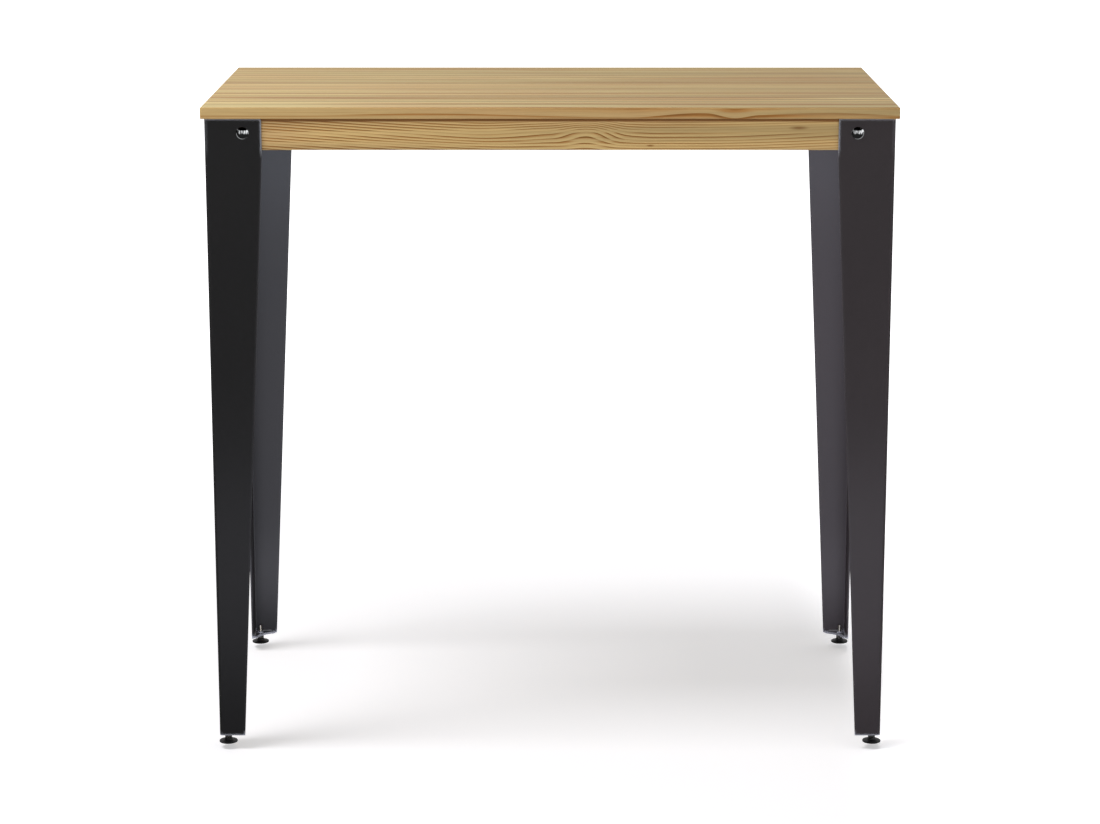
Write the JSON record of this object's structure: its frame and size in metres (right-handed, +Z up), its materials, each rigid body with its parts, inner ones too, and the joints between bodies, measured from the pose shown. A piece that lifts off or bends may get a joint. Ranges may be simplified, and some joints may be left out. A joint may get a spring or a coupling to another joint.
{
  "type": "bar table",
  "caption": "Bar-height table: a glued pine board and apron frame on folded, tapered steel corner legs with screw levelling feet.",
  "frame": {"origin": "on the floor under the middle of the board", "axes": "+X along the board to its right end, +Y from the front to the back, +Z up"},
  "size_m": [1.1, 0.59, 1.052],
  "materials": {
    "pine": "sanded pine under a matt clear oil",
    "beech": "fluted beech, raw",
    "powder_coated_steel": "satin black powder coat",
    "chrome_plated_steel": "polished",
    "zinc_plated_steel": "bright zinc plate",
    "foot_plastic": "moulded, matt"
  },
  "bodies": {
    "table": {"top_stave_1": "pine", "top_stave_2": "pine", "top_stave_3": "pine", "top_stave_4": "pine", "top_stave_5": "pine", "top_stave_6": "pine", "top_stave_7": "pine", "top_stave_8": "pine", "front_apron": "pine", "back_apron": "pine", "left_apron": "pine", "right_apron": "pine", "centre_rail": "pine", "front_left_leg": "powder_coated_steel", "front_left_foot_plate": "powder_coated_steel", "front_right_leg": "powder_coated_steel", "front_right_foot_plate": "powder_coated_steel", "back_right_leg": "powder_coated_steel", "back_right_foot_plate": "powder_coated_steel", "back_left_leg": "powder_coated_steel", "back_left_foot_plate": "powder_coated_steel", "coach_bolts": "chrome_plated_steel", "bolt_washers": "zinc_plated_steel", "hex_nuts": "zinc_plated_steel", "frame_dowels": "beech", "top_screws": "zinc_plated_steel"},
    "front_left_foot": {"front_left_foot_pad": "foot_plastic"},
    "front_left_foot_screw": {"front_left_foot_stud": "zinc_plated_steel"},
    "front_right_foot": {"front_right_foot_pad": "foot_plastic"},
    "front_right_foot_screw": {"front_right_foot_stud": "zinc_plated_steel"},
    "back_right_foot": {"back_right_foot_pad": "foot_plastic"},
    "back_right_foot_screw": {"back_right_foot_stud": "zinc_plated_steel"},
    "back_left_foot": {"back_left_foot_pad": "foot_plastic"},
    "back_left_foot_screw": {"back_left_foot_stud": "zinc_plated_steel"}
  },
  "joints": [
    {"name": "front_left_foot_extend", "type": "slide", "parent": "table", "child": "front_left_foot", "axis": [0, 0, -1], "range_m": [0, 0.01]},
    {"name": "front_left_foot_turn", "type": "hinge", "parent": "front_left_foot", "child": "front_left_foot_screw", "pos_m": [-0.5315, -0.2765, 0.0077], "axis": [0, 0, -1], "range_deg": [0, 3600]},
    {"name": "front_right_foot_extend", "type": "slide", "parent": "table", "child": "front_right_foot", "axis": [0, 0, -1], "range_m": [0, 0.01]},
    {"name": "front_right_foot_turn", "type": "hinge", "parent": "front_right_foot", "child": "front_right_foot_screw", "pos_m": [0.5315, -0.2765, 0.0077], "axis": [0, 0, -1], "range_deg": [0, 3600]},
    {"name": "back_right_foot_extend", "type": "slide", "parent": "table", "child": "back_right_foot", "axis": [0, 0, -1], "range_m": [0, 0.01]},
    {"name": "back_right_foot_turn", "type": "hinge", "parent": "back_right_foot", "child": "back_right_foot_screw", "pos_m": [0.5315, 0.2765, 0.0077], "axis": [0, 0, -1], "range_deg": [0, 3600]},
    {"name": "back_left_foot_extend", "type": "slide", "parent": "table", "child": "back_left_foot", "axis": [0, 0, -1], "range_m": [0, 0.01]},
    {"name": "back_left_foot_turn", "type": "hinge", "parent": "back_left_foot", "child": "back_left_foot_screw", "pos_m": [-0.5315, 0.2765, 0.0077], "axis": [0, 0, -1], "range_deg": [0, 3600]}
  ],
  "couplings": [
    {"joint": "front_left_foot_turn", "follows": "front_left_foot_extend", "rad_per_m": 6283.2},
    {"joint": "front_right_foot_turn", "follows": "front_right_foot_extend", "rad_per_m": 6283.2},
    {"joint": "back_right_foot_turn", "follows": "back_right_foot_extend", "rad_per_m": 6283.2},
    {"joint": "back_left_foot_turn", "follows": "back_left_foot_extend", "rad_per_m": 6283.2}
  ]
}
